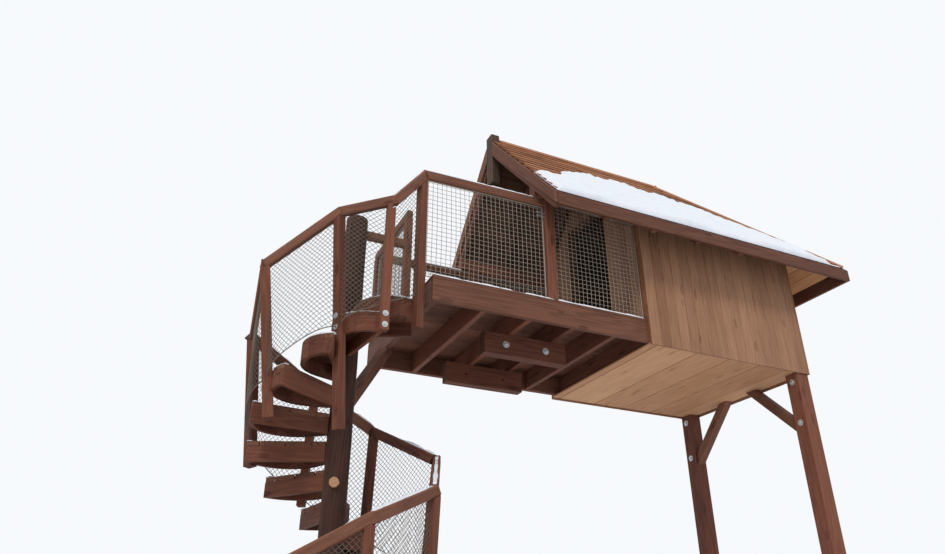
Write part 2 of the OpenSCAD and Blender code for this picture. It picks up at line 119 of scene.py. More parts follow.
sky = bpy.data.worlds.new("sky")
sky.use_nodes = True
scene.world = sky
tree = sky.node_tree
sky_light = wire(tree, tree.nodes["Background"], Color=(0.92, 0.95, 1.0, 1), Strength=0.75)
seen = node(tree, "ShaderNodeBackground", Color=(0.93, 0.95, 0.98, 1))
ray = node(tree, "ShaderNodeLightPath").outputs
mirror_ray = sums(tree, "ADD", ray["Is Glossy Ray"], ray["Is Transmission Ray"])
plain_ray = sums(tree, "ADD", ray["Is Camera Ray"], mirror_ray)
plain_ray.node.use_clamp = True
choose = node(tree, "ShaderNodeMixShader")
for socket, value in zip(choose.inputs, (plain_ray, sky_light.outputs[0], seen.outputs[0])):
    feed(tree, socket, value)
wire(tree, tree.nodes["World Output"], Surface=choose.outputs[0])

floor_mesh = bpy.data.meshes.new("floor")
floor_mesh.from_pydata([(x * floor_half, y * floor_half, 0) for x, y in (
    (-1, -1), (1, -1), (1, 1), (-1, 1))], [], [(0, 1, 2, 3)])
pale, tree, shader = material("pale_floor")
wire(tree, shader, Base_Color=(0.82, 0.83, 0.85, 1), Roughness=0.9)
floor_mesh.materials.append(pale)
stand("floor", floor_mesh)

# STAINED TIMBER
# Every member is sawn softwood under a red-brown stain. A member's own axes
# carry its grain, so that streaks, rings and knots run along it and no two match.
X, Y, Z = np.eye(3)
merge_gap, flat_turn, sharp_turn = 2e-5, math.radians(0.5), math.radians(32)
grain_spread = 40


def blend_colours(tree, share, low, high):
    """The result of mixing two outputs or colours by a share."""
    made = tree.nodes.new("ShaderNodeMix")
    made.data_type = "RGBA"
    for k, value in ((0, share), (6, low), (7, high)):
        feed(tree, made.inputs[k], value)
    return made.outputs[2]


def attribute(tree, name, output="Fac"):
    """An output of the node that reads an attribute of the mesh."""
    made = tree.nodes.new("ShaderNodeAttribute")
    made.attribute_name = name
    return made.outputs[output]


def grain_group():
    """Wood from a place in the member: fine fibres and growth rings are noise
    drawn out along the first axis, knots are sparse cells. Wear makes planed
    corners paler and cut ends darker."""
    group = bpy.data.node_groups.new("wood_grain", "ShaderNodeTree")
    for name, kind, way in (
        ("Place", "Vector", "INPUT"), ("Tone", "Float", "INPUT"), ("Wear", "Float", "INPUT"),
        ("Dark", "Color", "INPUT"), ("Light", "Color", "INPUT"), ("Contrast", "Float", "INPUT"),
        ("Knots", "Float", "INPUT"), ("Color", "Color", "OUTPUT"), ("Roughness", "Float", "OUTPUT"),
        ("Height", "Float", "OUTPUT"),
    ):
        group.interface.new_socket(name, in_out=way, socket_type="NodeSocket" + kind)
    given = group.nodes.new("NodeGroupInput").outputs

    def drawn(kind, scale, **values):
        """A texture on the place, stretched by three scales along the member's axes."""
        stretch = node(group, "ShaderNodeMapping", Vector=given["Place"], Scale=scale)
        return node(group, kind, Vector=stretch.outputs[0], Scale=1.0, **values).outputs

    def calc(kind, *values):
        """A sum inside the group."""
        return sums(group, kind, *values)

    noise, ring_count, knot_reach = "ShaderNodeTexNoise", 9.0, 0.16
    fibre = drawn(noise, (2.2, 90.0, 90.0), Detail=4.0, Roughness=0.65)["Fac"]
    band = drawn(noise, (0.7, 11.0, 11.0), Detail=2.0, Roughness=0.5)["Fac"]
    patch = drawn(noise, (1.4, 3.5, 3.5), Detail=2.0, Roughness=0.5)["Fac"]
    cell = drawn("ShaderNodeTexVoronoi", (2.6, 8.0, 8.0))["Distance"]
    ring = calc("ABSOLUTE", calc("SUBTRACT", calc("FRACT", calc("MULTIPLY", band, ring_count)), 0.5))
    knot = calc("MULTIPLY", calc("LESS_THAN", cell, knot_reach), given["Knots"])
    share = calc("MULTIPLY_ADD", fibre, 0.5, calc("MULTIPLY", ring, 0.7))
    share = calc("SUBTRACT", calc("MULTIPLY_ADD", patch, 0.35, share), 0.6)
    share = calc("MULTIPLY_ADD", share, given["Contrast"], 0.5)
    tone = calc("SUBTRACT", given["Tone"], 0.5)
    for part, weight in ((tone, 0.55), (knot, -0.6), (given["Wear"], 0.3)):
        share = calc("MULTIPLY_ADD", part, weight, share)
    share.node.use_clamp = True
    wire(group, group.nodes.new("NodeGroupOutput"),
         Color=blend_colours(group, share, given["Dark"], given["Light"]),
         Roughness=calc("MULTIPLY_ADD", fibre, 0.3, 0.55), Height=calc("MULTIPLY_ADD", ring, 0.5, fibre))
    return group


wood_grain = grain_group()


def wood(name, dark, light, contrast=1.0, knots=0.6, bump=0.25, by_object=False):
    """A stained wood on the piece's grain attribute, or on Object coordinates."""
    made, tree, shader = material(name)
    group = tree.nodes.new("ShaderNodeGroup")
    group.node_tree = wood_grain
    wire(tree, group, Dark=(*dark, 1), Light=(*light, 1), Contrast=contrast, Knots=knots, Tone=0.5)
    if by_object:
        wire(tree, group, Place=node(tree, "ShaderNodeTexCoord").outputs["Object"])
    else:
        wire(tree, group, Place=attribute(tree, "grain", "Vector"), Tone=attribute(tree, "tone"),
             Wear=attribute(tree, "wear"))
    relief = node(tree, "ShaderNodeBump", Strength=bump, Distance=0.002, Height=group.outputs["Height"])
    wire(tree, shader, Base_Color=group.outputs["Color"], Roughness=group.outputs["Roughness"],
         Normal=relief.outputs[0], Specular_IOR_Level=0.2)
    return made


red_stain = wood("red_stain", (0.07, 0.022, 0.013), (0.22, 0.08, 0.046))
brown_stain = wood("brown_stain", (0.075, 0.028, 0.017), (0.225, 0.096, 0.058))
tan_stain = wood("tan_stain", (0.18, 0.08, 0.042), (0.4, 0.215, 0.125), contrast=0.8)


def read(rows, name, width=1, kind=float):
    """A value of every row of a mesh's table, as an array."""
    values = np.zeros(len(rows) * width, kind)
    rows.foreach_get(name, values)
    return values.reshape(-1, width) if width > 1 else values


def members(mesh):
    """Labels the mesh's loose parts: each point takes the lowest label among its
    neighbours until nothing changes."""
    a, b = read(mesh.edges, "vertices", 2, int).T
    label = np.arange(len(mesh.vertices))
    while True:
        new = label.copy()
        np.minimum.at(new, a, label[b])
        np.minimum.at(new, b, label[a])
        new = new[new]
        if (new == label).all():
            break
        label = new
    return np.unique(label, return_inverse=True)[1]


def give_grain(mesh, grain, tone, wear):
    """Writes grain coordinates and tones on the mesh's points, wear on its faces."""
    for name, kind, rows, field, values in (
        ("grain", "FLOAT_VECTOR", "POINT", "vector", grain), ("tone", "FLOAT", "POINT", "value", tone),
        ("wear", "FLOAT", "FACE", "value", wear),
    ):
        table = mesh.attributes.new(name, kind, rows).data
        values = np.broadcast_to(values, (len(table), 3) if field == "vector" else len(table))
        table.foreach_set(field, values.astype(np.float32).ravel())


def place(mesh, name, finish, slot, *nodes):
    """Puts a mesh in the scene with its finish, riding on the one body, in the
    place of the CAD nodes that it stands for. The slot is not used."""
    mesh.name = name
    mesh.materials.clear()
    mesh.materials.append(finish)
    piece = stand(name, mesh)
    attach(piece, "root")
    if nodes:
        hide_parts(*nodes)


def timber(cad_node, finish, slot, chamfer=0.004, saw=None):
    """The members of a CAD node with planed corners: its triangles are merged,
    flat sides joined, sawn up where a saw is given, and every sharp corner cut
    back by the chamfer. Each member's longest axis leads its grain."""
    whole = bmesh.new()
    whole.from_mesh(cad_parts[cad_node].data)
    bmesh.ops.remove_doubles(whole, verts=whole.verts, dist=merge_gap)
    bmesh.ops.dissolve_limit(whole, angle_limit=flat_turn, verts=whole.verts, edges=whole.edges)
    if saw:
        whole = saw(whole)
    sharp = [e for e in whole.edges if e.is_manifold and e.calc_face_angle() > sharp_turn]
    worn = whole.faces.layers.float.new("worn")
    cut = bmesh.ops.bevel(
        whole, geom=sharp, offset=chamfer, segments=1, profile=0.5, affect="EDGES", clamp_overlap=True)
    for face in cut["faces"]:
        face[worn] = 1.0
    bmesh.ops.triangulate(whole, faces=[f for f in whole.faces if len(f.verts) > 4])
    mesh = bpy.data.meshes.new(cad_node)
    whole.to_mesh(mesh)
    whole.free()
    points, facing = read(mesh.vertices, "co", 3), read(mesh.polygons, "normal", 3)
    first = read(mesh.polygons, "loop_start", 1, int)
    wear = read(mesh.attributes["worn"].data, "value")
    mesh.attributes.remove(mesh.attributes["worn"])
    label = members(mesh)
    owner = label[read(mesh.loops, "vertex_index", 1, int)[first]]
    rng = np.random.default_rng(len(cad_node) * 97 + len(label))
    grain, tone = np.zeros_like(points), rng.random(label.max() + 1)[label]
    for k in range(label.max() + 1):
        own = label == k
        centred = points[own] - points[own].mean(0)
        axes = np.linalg.svd(centred, full_matrices=False)[2]
        grain[own] = centred @ axes.T + rng.uniform(-grain_spread, grain_spread, 3)
        wear[(owner == k) & (np.abs(facing @ axes[0]) > 0.9)] = -1.0
    give_grain(mesh, grain, tone, wear)
    place(mesh, cad_node + "_timber", finish, slot, cad_node)


def shell(points, faces, turn_out=True):
    """A mesh from an array of points and a list of face arrays, turned outwards."""
    mesh = bpy.data.meshes.new("piece")
    mesh.from_pydata(points.reshape(-1, 3).tolist(), [], [f for a in faces for f in a.tolist()])
    if turn_out:
        whole = bmesh.new()
        whole.from_mesh(mesh)
        bmesh.ops.recalc_face_normals(whole, faces=whole.faces)
        whole.to_mesh(mesh)
        whole.free()
    return mesh


def stacked(*parts):
    """Arrays brought to one shape, side by side along a new last axis."""
    return np.stack(np.broadcast_arrays(*parts), -1)


def between(start, end, share):
    """The place on the way from start to end by a share of it."""
    return start + (end - start) * share


def tubes(count, rings, sides):
    """The faces of a row of tubes of so many rings and sides: quads from each ring
    to the next, then the flat first and last ends."""
    at = (np.arange(count) * rings * sides)[:, None, None]
    ring, rows = np.arange(sides), np.arange(rings - 1)[:, None] * sides
    i, j = at + rows + ring, at + rows + (ring + 1) % sides
    quads = stacked(i, j, j + sides, i + sides).reshape(-1, 4)
    ends = np.concatenate([at[:, 0] + ring[::-1], at[:, 0] + ring + (rings - 1) * sides])
    return quads, ends


def bars(points, grain, seed):
    """Straight bars, each from eight corners to eight more. Every second side is a
    planed corner, and no two bars match in grain and tone."""
    rng = np.random.default_rng(seed)
    count = len(points)
    mesh = shell(points, tubes(count, 2, 8))
    grain = grain.reshape(count, 16, 3) + rng.uniform(-grain_spread, grain_spread, (count, 1, 3))
    wear = np.concatenate([np.tile([0, 1.0], 4 * count), np.full(2 * count, -1.0)])
    give_grain(mesh, grain.reshape(-1, 3), np.repeat(rng.random(count), 16), wear)
    return mesh


def boards(corner, width, lower, upper, along, across, out, depth, seed, edge=0.003):
    """Sawn boards side by side. Board i starts at corner[i] and spans width[i];
    its ends lie at lower[i] and upper[i] = (at its first side, at its second),
    and its section is a rectangle with cut corners."""
    count = len(corner)
    width = np.broadcast_to(width, count).astype(float)
    one, zero = np.ones_like(width), np.zeros_like(width)
    side = np.stack([edge * one, width - edge, width, width, width - edge, edge * one, zero, zero], 1)
    rise = np.array([0, 0, edge, depth - edge, depth, depth, depth - edge, edge])
    ends = (np.broadcast_to(end, (count, 2)) for end in (lower, upper))
    run = np.stack([between(end[:, :1], end[:, 1:], side / width[:, None]) for end in ends], 1)
    grain = stacked(run, side[:, None], rise)
    points = np.asarray(corner)[:, None, None] + grain @ np.array([along, across, out])
    return bars(points, grain, seed)


# LOG POLE
# A peeled log, 200 mm thick, carries the stair. It has shallow flutes and drying
# checks along it, and one branch is sawn off to a stub on its near side.


def level(angle):
    """Unit vectors in plan at angles in degrees."""
    turn = np.radians(angle)
    return stacked(np.cos(turn), np.sin(turn), 0.0)


def log_skin(start, axis, side, length, radius, rings, seed, flute=0.004):
    """A log: a circle carried along an axis, its radius eased by long waves
    round it that drift slowly with height, closed by flat sawn ends."""
    rng = np.random.default_rng(seed)
    turns = 64
    up = np.linspace(0, length, rings)[:, None]
    a = np.linspace(0, 2 * math.pi, turns, endpoint=False)[None]
    wave = np.zeros((rings, turns))
    for lobes, strength in ((3, 0.5), (7, 0.35), (13, 0.3), (23, 0.2)):
        phase, drift = rng.uniform(0, 2 * math.pi), rng.uniform(-1.5, 1.5)
        wave += strength * np.cos(lobes * a + phase + drift * up)
    r = radius * (1 - 0.02 * np.abs(np.sin(5 * up))) - flute * (1 + wave) * 0.7
    grain = stacked(up, r * np.cos(a), r * np.sin(a)).reshape(-1, 3)
    grain = np.concatenate([grain, [[0, 0, 0], [length, 0, 0]]])
    quads, ends = tubes(1, rings, turns)
    fans = [stacked(end, np.roll(end, -1), rings * turns + k) for k, end in enumerate(ends)]
    mesh = shell(start + grain @ np.array([axis, side, np.cross(axis, side)]), [quads, *fans])
    wear = np.repeat([0.0, -0.6], [len(quads), 2 * turns])
    give_grain(mesh, grain, 0.4, wear)
    mesh.polygons.foreach_set("use_smooth", wear == 0)
    return mesh


pole_top, pole_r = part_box("stair_pole")[1].z, 0.1
stub_way, stub_z, stub_start, stub_long, stub_r = level(-110), 2.81, 0.08, 0.05, 0.038
log_wood = wood("log_wood", (0.02, 0.008, 0.006), (0.085, 0.036, 0.024), contrast=1.3, bump=0.7)
place(log_skin(np.zeros(3), Z, X, pole_top, pole_r, 120, 3), "stair_pole_log",
      log_wood, "log_wood", "stair_pole")
stub = log_skin(stub_way * stub_start + Z * stub_z, stub_way, Z, stub_long, stub_r, 4, 8, 0.001)
cut_end = wood("cut_end", (0.34, 0.17, 0.09), (0.62, 0.38, 0.22), contrast=0.8)
place(stub, "pole_branch_stub", cut_end, "log_wood")

# STEPS
# Each step is a box: 40 mm planks on a skirt that is bent round its curved
# outer edge. The steps wind round the pole, one every 30 degrees.
riser, rises, step_turn, land_turn = 0.21, 21, 30, -68
tread_r, corner_r = 0.72, 0.31
plank_w, plank_gap, saw_over, saw_under = 0.145, 0.005, 0.02, 0.06


def front(tread):
    """The turn of a tread's front edge: the last rise lands at land_turn."""
    return land_turn - (rises - tread) * step_turn


def sawn_steps(whole):
    """The steps' boards sawn into planks along their front edges: a copy of them
    all is cut off at level planes over and under a step, and at two upright planes
    half a gap inside each plank's sides, and the cuts are closed."""
    planks, piece = bmesh.new(), bpy.data.meshes.new("plank")
    for tread in range(1, rises):
        way = level(front(tread) + 90)
        for i in range(math.ceil(tread_r / plank_w)):
            plank = whole.copy()
            cuts = [(Z * (riser * tread + saw_over), Z), (Z * (riser * tread - saw_under), -Z),
                    (way * ((i + 1) * plank_w - plank_gap / 2), way)]
            if i:
                cuts.append((way * (i * plank_w + plank_gap / 2), -way))
            for spot, off in cuts:
                bmesh.ops.bisect_plane(plank, geom=plank.verts[:] + plank.edges[:] + plank.faces[:],
                                       plane_co=spot, plane_no=off, clear_outer=True)
            bmesh.ops.holes_fill(plank, edges=plank.edges, sides=0)
            plank.to_mesh(piece)
            plank.free()
            planks.from_mesh(piece)
    whole.free()
    bmesh.ops.recalc_face_normals(planks, faces=planks.faces)
    return planks


timber("stair_treads", brown_stain, "brown_stain", 0.005, sawn_steps)
timber("stair_skirts", red_stain, "red_cedar_stain")


def edge_place(turn):
    """The tread's edge at a turn from its front: (radius, turn of its normal). It
    is the rounded corner's arc up to where that meets the outer arc."""
    along = math.sqrt((tread_r - corner_r) ** 2 - corner_r ** 2)
    end = math.degrees(math.atan2(corner_r, along))
    if turn >= end:
        return tread_r, turn
    c, s = math.cos(math.radians(turn)), math.sin(math.radians(turn))
    across = along * s - corner_r * c
    radius = along * c + corner_r * s + math.sqrt(corner_r ** 2 - across ** 2)
    return radius, math.degrees(math.atan2(radius * s - corner_r, radius * c - along))


# STAIR POSTS AND RAILS
# Leaning square timbers are bolted to the steps' outer edges and carry the rails.
# A row gives a post's step, its turn on it, its rail's height over the pitch line,
# its section and its lean.
post_rows = (
    (1, 40, 0.74, 0.07, 3), (3, 40, 0.74, 0.07, 4), (5, 40, 0.74, 0.07, 4),
    (7, 42, 0.73, 0.07, 3), (9, 36, 0.645, 0.08, 3), (10, 36, 0.755, 0.07, 5),
    (12, 32, 0.725, 0.065, 3), (14, 20, 0.73, 0.065, 5), (15, 36, 0.74, 0.075, 8),
    (17, 26, 0.768, 0.08, 8), (19, 18, 0.776, 0.07, 6), (19, 44, 0.715, 0.065, 1),
    (20, 40, 0, 0.07, 0))
lower_count = 6
deck_low, deck_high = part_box("deck_floor")
porch_low, porch_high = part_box("porch_posts")
deck_z, guard_z, post_half = deck_high.z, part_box("deck_rails")[1].z, 0.045
near_porch = np.array([porch_low.x, porch_low.y + post_half, guard_z])
far_porch = np.array([porch_low.x, porch_high.y - post_half, guard_z])
newel = np.array([deck_low.x + 0.035, 0.06, guard_z])
corner_newel = np.array([newel[0], far_porch[1], guard_z])
for cad_node in ("stair_posts_lower", "stair_posts_upper"):
    timber(cad_node, red_stain, "red_cedar_stain", 0.007)


def pitch_z(turn):
    """The pitch line's height at a turn: one rise for each step's turn."""
    return deck_z + (turn - land_turn) * riser / step_turn


def stair_post(row):
    """A post's turn, its outward way, the middle of its outer face where it
    passes its step, the top middle of the rail on its axis, and its slant."""
    tread, turn, over, section, lean = row
    radius, normal = edge_place(turn)
    out = level(front(tread) + normal)
    foot = radius * level(front(tread) + turn) + Z * riser * tread
    top = pitch_z(front(tread) + turn) + over if over else guard_z
    rise = top - riser * tread
    slant = math.tan(math.radians(lean))
    head = foot + out * (section / 2 + rise * slant) + Z * rise
    return front(tread) + turn, out, foot + out * section, head, slant


stair_posts = [stair_post(row) for row in post_rows]
heads = [post[3] for post in stair_posts]
rail_w, rail_h, rail_edge, rail_tail = 0.06, 0.084, 0.011, 0.05


def unit(vectors):
    """Vectors brought to length one."""
    return vectors / np.linalg.norm(vectors, axis=-1, keepdims=True)


def rail_run(points):
    """Rails from point to point, which lie along their top middle. A section
    with cut corners is carried along each and mitred on the plane that halves
    the turn to the next. Each rail's 16 corners come with their grain."""
    points = np.asarray(points)
    length = np.linalg.norm(np.diff(points, axis=0), axis=1, keepdims=True)
    way = np.diff(points, axis=0) / length
    side = unit(np.cross(way, Z))
    up = np.cross(side, way)
    half, e, h = rail_w / 2, rail_edge, rail_h
    across = np.array([e - half, half - e, half, half, half - e, e - half, -half, -half])
    rise = np.array([-h, -h, e - h, -e, 0, 0, -e, e - h])
    offset = across[:, None] * side[:, None] + rise[:, None] * up[:, None]
    mitre = np.concatenate([way[:1], way[:-1] + way[1:], way[-1:]])
    corners, along = [], []
    for at, plane, begin in ((points[:-1], mitre[:-1], 0), (points[1:], mitre[1:], length)):
        slide = -(offset * plane[:, None]).sum(-1) / (way * plane).sum(-1, keepdims=True)
        corners.append(at[:, None] + offset + slide[..., None] * way[:, None])
        along.append(slide + begin)
    grain = stacked(np.concatenate(along, 1), np.tile(across, 2), np.tile(rise, 2))
    return np.concatenate([np.concatenate(corners, 1), grain], -1)


start = heads[0] - rail_tail * unit(heads[1] - heads[0])
stair_run = rail_run([start, *heads[1:], near_porch])
deck_run = rail_run([newel - 0.035 * Y, corner_newel, far_porch])
pole_rail = np.array([0.08, newel[1], deck_z + 0.72])
pole_run = rail_run([pole_rail, (deck_low.x, *pole_rail[1:])])
for cad_node, run, seed in (
    ("stair_rails_lower", stair_run[:lower_count], 51),
    ("stair_rails_upper", stair_run[lower_count:-1], 52),
    ("deck_rails", np.concatenate([stair_run[-1:], deck_run, pole_run]), 53),
):
    place(bars(run[..., :3], run[..., 3:], seed), cad_node + "_bars", brown_stain, "brown_stain", cad_node)

# BOLTS
# Every stair post is held to its step by two galvanised coach bolts, each with a
# round washer under a domed hexagon head. Like bolts hold bearers and braces.


def metal(name, colour, rough):
    """Dull metal mottled by fine noise on Object coordinates."""
    made, tree, shader = material(name)
    spot = node(tree, "ShaderNodeTexCoord").outputs["Object"]
    mottle = node(tree, "ShaderNodeTexNoise", Vector=spot, Scale=90.0, Detail=3.0).outputs["Fac"]
    dark = tuple(0.7 * c for c in colour)
    wire(tree, shader, Base_Color=blend_colours(tree, mottle, (*dark, 1), (*colour, 1)), Metallic=0.9,
         Roughness=sums(tree, "MULTIPLY_ADD", mottle, 0.3, rough))
    return made


zinc = metal("zinc", (0.6, 0.61, 0.62), 0.35)
head_rings = (
    (2.0, 0.0, 1), (2.0, 0.22, 1), (1.03, 0.22, 1), (1.03, 0.75, 0), (0.9, 0.9, 0), (0.4, 1.0, 1))


def bolts(name, spots, radius=0.012, turns=24, finish=zinc):
    """Bolt heads at (place, way out) spots: rings round the way out, whose radius
    and rise are given in bolt radii, a flat washer first and then the head. Rings
    marked 1 are round and the others hexagons."""
    places, outs = np.array(spots).transpose(1, 0, 2)
    reach, rise, whole = radius * np.array(head_rings).T
    a = np.arange(turns) * 2 * math.pi / turns
    hexagon = math.cos(math.pi / 6) / np.cos((a + math.pi / 6) % (math.pi / 3) - math.pi / 6)
    rings = reach[:, None] * np.where(whole[:, None] > 0, 1, hexagon)
    side = unit(np.cross(outs, np.where(np.abs(outs[:, 2:]) > 0.9, X, Z)))
    axes = np.stack([side, np.cross(outs, side), outs], 1)
    points = stacked(rings * np.cos(a), rings * np.sin(a), rise[:, None]) @ axes[:, None]
    points += places[:, None, None]
    place(shell(points, tubes(len(spots), len(head_rings), turns)), name, finish, None)


bolts("stair_post_bolts", [
    (face - drop * (Z + slant * out), out)
    for turn, out, face, head, slant in stair_posts[:-1] for drop in (0.035, 0.125)])

# NETS
# Knotted cord nets fill the guard: small diamonds along the stair, larger squares
# round the deck and porch. Each bay has a thicker rope laced along its edges. The
# one cord is painted dark on the stair, where it is seen against the sky, and
# painted light round the deck and porch, where it is lit by the sun.


def cord_finish(name, dark, light):
    """Laid cord: three strands wound round, from the place along and about the
    cord, shown as a bump and as slanting furrows darkened by painted shade."""
    made, tree, shader = material(name)
    spot = node(tree, "ShaderNodeSeparateXYZ", Vector=attribute(tree, "grain", "Vector")).outputs
    wound = sums(tree, "MULTIPLY_ADD", spot[0], 260.0, sums(tree, "MULTIPLY", spot[1], 3.0))
    strand_bump_and_shade = sums(tree, "ABSOLUTE", sums(tree, "SINE", wound))
    relief = node(tree, "ShaderNodeBump", Strength=0.5, Distance=0.0006, Height=strand_bump_and_shade)
    # painted shade: the cord's colour darkens in the furrows between its strands
    wire(tree, shader, Base_Color=blend_colours(tree, strand_bump_and_shade, (*dark, 1), (*light, 1)),
         Normal=relief.outputs[0], Roughness=0.85)
    return made


def threads(start, end, lay, thick, gap, sides=4):
    """Cords laid straight from start[i] to end[i] on the net's flat, with a ring
    of a square every gap along the longest. lay carries the flat to its place
    and gives the way out. Returns points, faces, and places along and about."""
    count = 2 + int(np.linalg.norm(end - start, axis=1).max() / gap)
    flat = between(start[:, None], end[:, None], np.linspace(0, 1, count)[:, None])
    centre, out = lay(flat[..., 0], flat[..., 1])
    way = unit(np.gradient(centre, axis=1))
    out = unit(out - way * (out * way).sum(-1, keepdims=True))
    a = np.arange(sides) * 2 * math.pi / sides
    ring = thick / 2 * stacked(np.cos(a), np.sin(a)) @ np.stack([out, np.cross(way, out)], -2)
    points = centre[:, :, None] + ring
    along = np.linalg.norm(flat - start[:, None], axis=-1)
    grain = stacked(along[..., None], a, 0.0)
    return points.reshape(-1, 3), tubes(len(start), count, sides), grain.reshape(-1, 3)


def knots(flat, lay, way, size):
    """A knot at every crossing: an eight-sided bead, longest along the cords."""
    centre, out = lay(flat[:, 0], flat[:, 1])
    one = unit(lay(*(flat + 0.002 * way).T)[0] - centre)
    two = np.cross(out, one)
    points = centre[:, None] + size * np.stack([one, two, -one, -two, 0.8 * out, -0.8 * out], 1)
    i, j = np.arange(4), (np.arange(4) + 1) % 4
    fan = np.concatenate([stacked(i, j, 4), stacked(j, i, 5)])
    faces = (fan[None] + 6 * np.arange(len(flat))[:, None, None]).reshape(-1, 3)
    return points.reshape(-1, 3), [faces], np.zeros((6 * len(flat), 3))


def net_bay(width, height, lay, mesh_gap, turn, thick, climb=0.0):
    """One bay of net on a flat of width and height: two sets of lines mesh_gap
    apart at turn and square to it, clipped to the bay, a knot where they cross,
    and a rope of twice the thickness round the edge. Where the bay's foot rises
    by climb for each metre across, the lines are slanted back by as much. A tiny
    tilt keeps every line off the level, because it is cut by dividing by its way."""
    size, border, tilt = np.array([width, height]), 0.004, math.degrees(1e-6)
    reach = math.hypot(width, height) + climb * width
    slant = np.array([[1, 0], [-climb, 1]])
    row = (np.arange(-reach // mesh_gap, reach // mesh_gap + 1) + 0.5) * mesh_gap
    ways = level(turn + tilt + np.array([0, 90]))[:, :2]
    starts, ends = [], []
    for d in ways:
        base, d = row[:, None] * (slant @ [-d[1], d[0]]), slant @ d
        a, b = -base / d, (size - base) / d
        first, last = np.minimum(a, b).max(1), np.maximum(a, b).min(1)
        keep = last - first > mesh_gap / 3
        starts.append((base + first[:, None] * d)[keep])
        ends.append((base + last[:, None] * d)[keep])
    cross = (row[:, None, None] * ways[0] + row[:, None] * ways[1]).reshape(-1, 2) @ slant.T
    cross = cross[((cross > border) & (cross < size - border)).all(1)]
    corner = np.array([[0, 0], [width, 0], [width, height], [0, height]], float)
    return [
        threads(np.concatenate(starts), np.concatenate(ends), lay, thick, mesh_gap),
        knots(cross, lay, slant @ ways[0], thick * 0.85),
        threads(corner, np.roll(corner, -1, 0), lay, thick * 2, 0.04, 8)]


def net_piece(cad_node, bays, finish):
    """Joins the parts of several bays into one piece that stands for the CAD nets."""
    points, faces, grain, at = [], [], [], 0
    for bay in bays:
        for some_points, some_faces, some_grain in bay:
            points.append(some_points)
            faces += [f + at for f in some_faces]
            grain.append(some_grain)
            at += len(some_points)
    mesh = shell(np.concatenate(points), faces, turn_out=False)
    give_grain(mesh, np.concatenate(grain), 0.5, 0.0)
    place(mesh, cad_node + "_cords", finish, "net_cord", cad_node)


def slack(across, up, width, height, depth, seed):
    """How far a net bellies out, as one half wave each way with ripples on it."""
    rng = np.random.default_rng(seed)
    a, b = rng.uniform(0, 6, 2)
    belly = np.sin(math.pi * np.clip(across / width, 0, 1)) * np.sin(math.pi * np.clip(up / height, 0, 1))
    return depth * belly * (1 + 0.4 * np.sin(7 * across + a) + 0.4 * np.sin(9 * up + b))


# STAIR NETS
# A bay hangs between two posts, from the straight rail down to a curved rope
# just outside the steps. Its sides are laced along the middle of the posts.
net_drop, net_r, stair_mesh, thin = 0.24, tread_r + 0.015, 0.03, 0.004


def stair_bay(first, second, seed):
    """The net between two posts: straight lines from a curve beside the steps up
    to the rail. The curve starts and ends at the posts' axes, and its radius eases
    by one less the fourth power of the way from its middle to that of the steps."""
    tops = np.array([first[3], second[3]]) - rail_h * Z
    feet, turns = [], []
    for turn, out, face, head, slant in (first, second):
        foot = head - (head[2] - pitch_z(turn) + net_drop) * (Z + slant * out)
        ahead = level(turn)
        feet.append(foot)
        turns.append(turn + math.degrees(math.atan2(np.cross(Z, ahead) @ foot, ahead @ foot)))
    feet = np.array(feet)
    radii = np.hypot(feet[:, 0], feet[:, 1])
    width = math.radians(turns[1] - turns[0]) * net_r
    height = float(np.mean(tops[:, 2] - feet[:, 2]))

    def lay(across, up):
        """Between a point of the curve and one of the rail, by the share of the height."""
        t = across / width
        out = level(between(*turns, t))
        radius = between(net_r, between(*radii, t), (2 * t - 1) ** 4)
        below = radius[..., None] * out + between(*feet[:, 2], t)[..., None] * Z
        above = between(*tops, t[..., None])
        belly = slack(across, up, width, height, 0.006, seed)[..., None]
        return between(below, above, (up / height)[..., None]) + belly * out, out

    climb = riser / (math.radians(step_turn) * net_r)
    return net_bay(width, height, lay, stair_mesh, 45, thin, climb)


bays = [stair_bay(a, b, k) for k, (a, b) in enumerate(zip(stair_posts, stair_posts[1:]))]
# painted shade: the stair's cord, painted dark as it looks against the sky
stair_cord_painted_dark = cord_finish("stair_cord_painted_dark", (0.06, 0.048, 0.038), (0.2, 0.165, 0.125))
net_piece("stair_nets_lower", bays[:lower_count], stair_cord_painted_dark)
net_piece("stair_nets_upper", bays[lower_count:], stair_cord_painted_dark)

# PLATFORM FRAME
# Rims, joists and bearers of sawn timber, a tie and a knee brace to the pole,
# and two square posts with braces under the cabin's far end.
for cad_node in ("rim_near", "rim_far", "rim_left", "rim_right", "pole_tie", "pole_brace", "post_braces"):
    timber(cad_node, brown_stain, "brown_stain")
for cad_node in ("floor_joists", "trunk_bearers", "support_posts"):
    timber(cad_node, red_stain, "red_cedar_stain", 0.006)
low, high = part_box("trunk_bearers")
middle, bolt_gap = (np.array(low) + np.array(high)) / 2, 0.4
spots = [((middle[0] + s * bolt_gap / 2, side, middle[2]), np.sign(side - middle[1]) * Y)
         for side in (low.y, high.y) for s in (-1, 1)]
low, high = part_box("support_posts")
post_middle, brace_drops = 0.075, (0.09, 0.5)
spots += [((low.x - 0.001, y, high.z - drop), -X)
          for y in (low.y + post_middle, high.y - post_middle) for drop in brace_drops]
bolts("frame_bolts", spots, 0.016)

# DECK FLOOR
# Stained softwood boards 138 mm wide run the length of the platform. They are
# laid on the joists with gaps of 6 mm.
count, gap = 12, 0.006
pitch = (deck_high.y - deck_low.y) / count
row = np.array([(deck_low.x, deck_low.y + pitch * k, deck_low.z) for k in range(count)])
planking = boards(row, pitch - gap, (0, 0), (deck_high.x - deck_low.x,) * 2, X, Y, Z,
                  deck_high.z - deck_low.z, 21)
place(planking, "deck_floor_boards", brown_stain, "brown_stain", "deck_floor")
